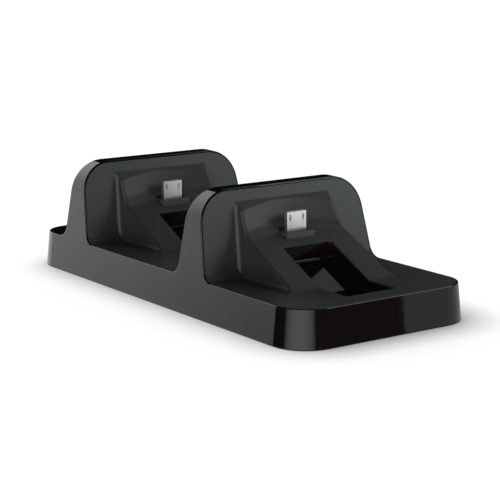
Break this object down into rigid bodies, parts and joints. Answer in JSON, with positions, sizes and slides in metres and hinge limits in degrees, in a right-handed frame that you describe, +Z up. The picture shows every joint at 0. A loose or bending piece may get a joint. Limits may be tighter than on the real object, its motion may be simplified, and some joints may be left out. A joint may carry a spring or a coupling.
{
  "type": "game controller charging dock",
  "caption": "Long low desk dock in gloss black with humps that back matte cradles, each with a sloping ramp, a sunk pocket and an upright plug, to hold and charge game controllers.",
  "frame": {"origin": "on the table, under the middle of the housing", "axes": "+Z up, +Y along the dock from the front end to the power inlet at the rear, +X to the right seen from the front"},
  "size_m": [0.0634, 0.1426, 0.0356],
  "materials": {
    "gloss_shell": "piano black, high gloss",
    "gloss_tray": "piano black, high gloss",
    "matte_cradle": "satin dark grey, finely spark-eroded",
    "matte_black": "matte black",
    "foot_rubber": "matte black rubber",
    "plug_steel": "bright nickel-plated steel",
    "screw_steel": "dark plated steel",
    "contact_gold": "gold-plated",
    "board_green": "solder-masked circuit board",
    "chip_black": "moulded chip body",
    "wire_red": "insulated wire"
  },
  "bodies": {
    "root": {"outer_shell": "gloss_shell", "bottom_cover": "matte_black", "cover_screws": "screw_steel", "foot_front_left": "foot_rubber", "foot_front_right": "foot_rubber", "foot_rear_left": "foot_rubber", "foot_rear_right": "foot_rubber", "front_cradle": "matte_cradle", "front_pocket_tray": "gloss_tray", "front_plug_collar": "matte_cradle", "front_plug_shell": "plug_steel", "front_plug_tongue": "matte_black", "front_plug_contacts": "contact_gold", "front_plug_latches": "plug_steel", "front_plug_board": "board_green", "front_plug_bracket": "matte_black", "front_bracket_screws": "screw_steel", "front_wires": "wire_red", "rear_cradle": "matte_cradle", "rear_pocket_tray": "gloss_tray", "rear_plug_collar": "matte_cradle", "rear_plug_shell": "plug_steel", "rear_plug_tongue": "matte_black", "rear_plug_contacts": "contact_gold", "rear_plug_latches": "plug_steel", "rear_plug_board": "board_green", "rear_plug_bracket": "matte_black", "rear_bracket_screws": "screw_steel", "rear_wires": "wire_red", "main_board": "board_green", "board_screws": "screw_steel", "charge_chips": "chip_black", "power_coils": "chip_black", "power_inlet": "plug_steel", "inlet_tongue": "matte_black"}
  },
  "joints": []
}
